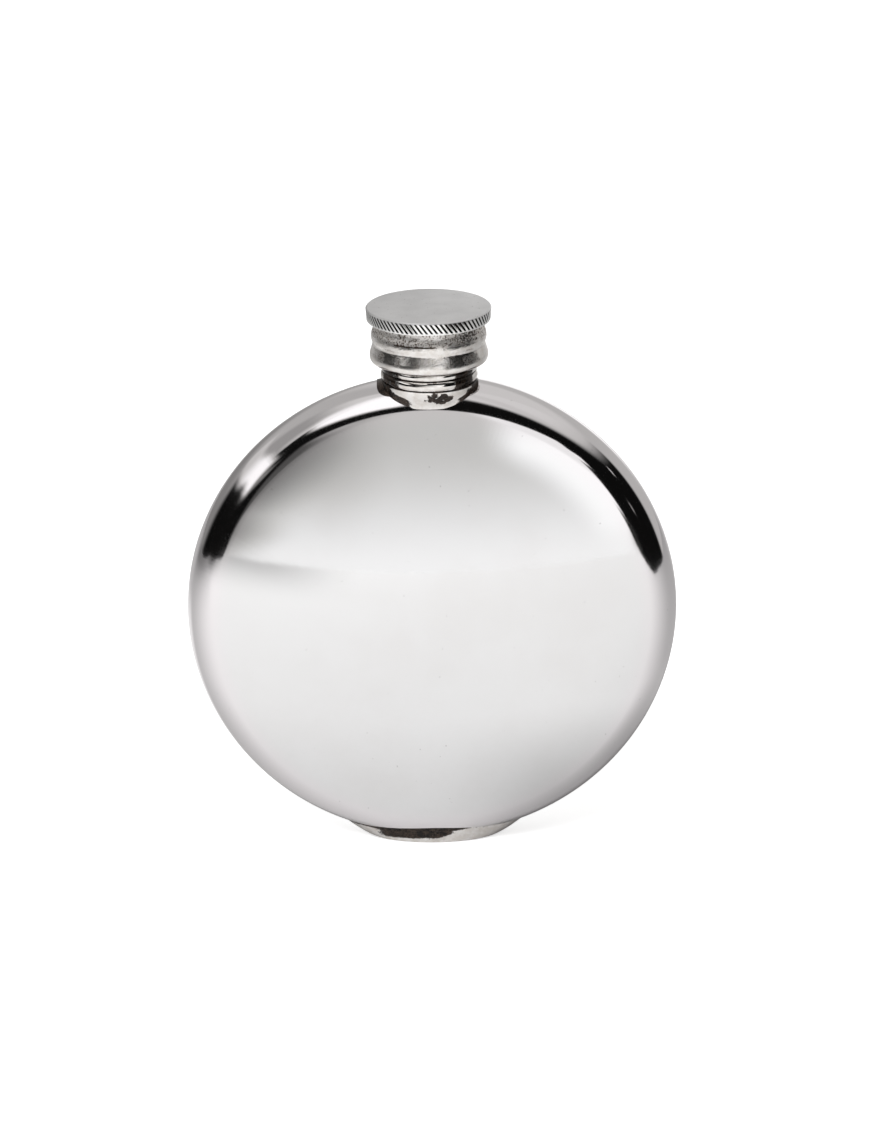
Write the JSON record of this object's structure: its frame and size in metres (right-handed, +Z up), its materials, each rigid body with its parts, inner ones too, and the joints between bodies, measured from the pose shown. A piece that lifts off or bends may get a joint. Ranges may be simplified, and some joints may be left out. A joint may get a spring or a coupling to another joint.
{
  "type": "pocket flask",
  "caption": "Round pewter pocket flask with domed faces, a ringed collar, a milled screw cap and a small oval foot, for carrying a drink.",
  "frame": {"origin": "under the middle of the body, on the flat underside of the foot", "axes": "+Z up along the neck, +X to the right of the front face, -Y out of the front face"},
  "size_m": [0.1, 0.025, 0.1149],
  "materials": {
    "polished_pewter": "mirror polished pewter",
    "cast_pewter": "cast pewter, part polished, with dark patina in the hollows",
    "turned_pewter": "turned pewter",
    "satin_pewter": "satin pewter with a bright milled edge",
    "seal_liner": "matt cork-coloured liner"
  },
  "bodies": {
    "flask": {"front_shell": "polished_pewter", "back_shell": "polished_pewter", "foot_ring": "cast_pewter", "neck_collar": "cast_pewter", "threaded_spout": "turned_pewter"},
    "seal": {"cap_seal": "seal_liner"},
    "cap": {"cap_skirt": "cast_pewter", "cap_disc": "satin_pewter"}
  },
  "joints": [
    {"name": "cap_lift", "type": "slide", "parent": "flask", "child": "seal", "axis": [0, 0, 1], "range_m": [0, 0.0072]},
    {"name": "cap_turn", "type": "hinge", "parent": "seal", "child": "cap", "pos_m": [0, 0, 0.1099], "axis": [0, 0, 1], "range_deg": [0, 1620]}
  ],
  "couplings": [
    {"joint": "cap_lift", "follows": "cap_turn", "m_per_rad": 0.00025465}
  ]
}
